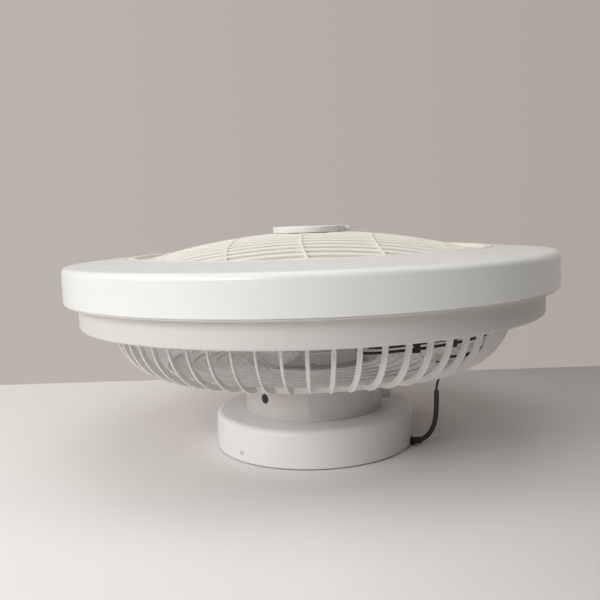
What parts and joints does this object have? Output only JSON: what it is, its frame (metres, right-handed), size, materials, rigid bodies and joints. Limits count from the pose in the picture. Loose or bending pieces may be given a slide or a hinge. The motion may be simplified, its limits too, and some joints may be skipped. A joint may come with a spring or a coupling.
{
  "type": "ceiling fan",
  "caption": "Low-profile caged ceiling fan with a ring lamp, a domed slatted grille that twists off, clear blades and a round ceiling canopy.",
  "frame": {"origin": "centre of the canopy's ceiling face, at the bottom of the part as it lies", "axes": "+Z from the ceiling into the room, along the fan's axis; -Y is the front of the picture, with the bare label plate just right of it"},
  "size_m": [0.5, 0.5, 0.2287],
  "materials": {
    "canopy_paint": "white powder coat",
    "zinc_steel": "zinc-plated steel",
    "housing_white": "fine satin white moulding",
    "cage_white": "satin white moulding",
    "grille_white": "warm white moulding",
    "opal": "opal acrylic, soft sheen",
    "plate_grey": "bare satin plate",
    "black_plastic": "black moulding",
    "nylon": "natural nylon",
    "board": "glass-epoxy board",
    "led_board_white": "white-masked aluminium board",
    "led": "LED package",
    "pad": "grey adhesive pad",
    "lead_black": "dark smooth PVC",
    "grommet_rubber": "black rubber",
    "motor_aluminium": "die-cast aluminium",
    "core_steel": "stacked laminations",
    "copper": "enamelled copper wire",
    "bearing_steel": "ground bearing steel",
    "magnet": "ferrite",
    "clear": "clear polycarbonate"
  },
  "bodies": {
    "housing": {"ceiling_bracket": "zinc_steel", "canopy": "canopy_paint", "canopy_screws": "zinc_steel", "neck": "housing_white", "neck_screws": "zinc_steel", "rating_plate": "plate_grey", "ir_receiver": "black_plastic", "terminal_block": "nylon", "terminal_screws": "zinc_steel", "driver_case": "housing_white", "driver_lid": "housing_white", "driver_board": "board", "driver_pad": "pad", "feed_lead": "lead_black", "motor_lead": "lead_black", "receiver_lead": "lead_black", "lead_sheath": "lead_black", "lead_grommet": "grommet_rubber", "lead_cores": "lead_black", "cage_grommet": "grommet_rubber", "lamp_connector": "nylon", "lamp_lead": "lead_black", "lead_clips": "black_plastic", "cage_floor": "cage_white", "cage_ribs": "cage_white", "cage_ring": "cage_white", "motor_plate": "zinc_steel", "cage_screws": "zinc_steel", "stator_base": "motor_aluminium", "motor_screws": "zinc_steel", "stator_core": "core_steel", "windings": "copper", "bearing_lower": "bearing_steel", "bearing_upper": "bearing_steel", "lamp_pan": "housing_white", "pan_screws": "zinc_steel", "led_board": "led_board_white", "led_chips": "led", "led_screws": "zinc_steel", "lamp_terminal": "nylon", "diffuser": "opal", "seat_ring": "housing_white", "seat_screws": "zinc_steel"},
    "rotor": {"shaft": "bearing_steel", "shaft_clip": "bearing_steel", "rotor_shell": "zinc_steel", "magnet_ring": "magnet", "drive_pin": "bearing_steel", "impeller": "clear", "spinner_nut": "housing_white"},
    "grille_body": {"grille": "grille_white", "centre_cap": "grille_white"}
  },
  "joints": [
    {"name": "rotor_spin", "type": "hinge", "parent": "housing", "child": "rotor", "pos_m": [0, 0, 0.12], "axis": [0, 0, 1], "continuous": true},
    {"name": "grille_twist", "type": "hinge", "parent": "housing", "child": "grille_body", "pos_m": [0, 0, 0.2], "axis": [0, 0, 1], "range_deg": [0, 14]}
  ]
}
